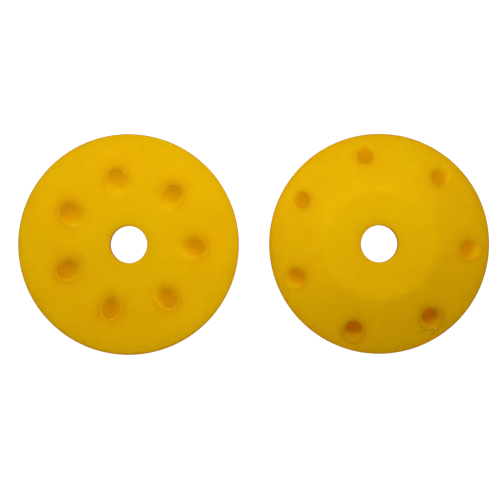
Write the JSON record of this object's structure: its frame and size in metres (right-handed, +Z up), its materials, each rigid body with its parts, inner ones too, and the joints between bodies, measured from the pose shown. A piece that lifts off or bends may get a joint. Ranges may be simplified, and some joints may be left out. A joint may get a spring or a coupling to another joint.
{
  "type": "circus staff spoke hub pair",
  "caption": "Thick translucent yellow discs, flat on one side and bevelled on the other, with a centre bore and slanted holes round it for spokes, lying loose side by side.",
  "frame": {"origin": "on the surface that the hubs lie on, midway between their centres", "axes": "+X from the left hub to the right hub, +Z up, out of the surface, and +Y towards the back"},
  "size_m": [0.2436, 0.114, 0.022],
  "materials": {
    "yellow_polymer": "satin, slightly translucent, moulded, with drilled holes"
  },
  "bodies": {
    "left_hub": {"left_hub": "yellow_polymer"},
    "right_hub": {"right_hub": "yellow_polymer"}
  },
  "joints": [
    {"name": "right_hub_lift", "type": "slide", "parent": "left_hub", "child": "right_hub", "axis": [0, 0, 1], "range_m": [0, 0.1]}
  ]
}
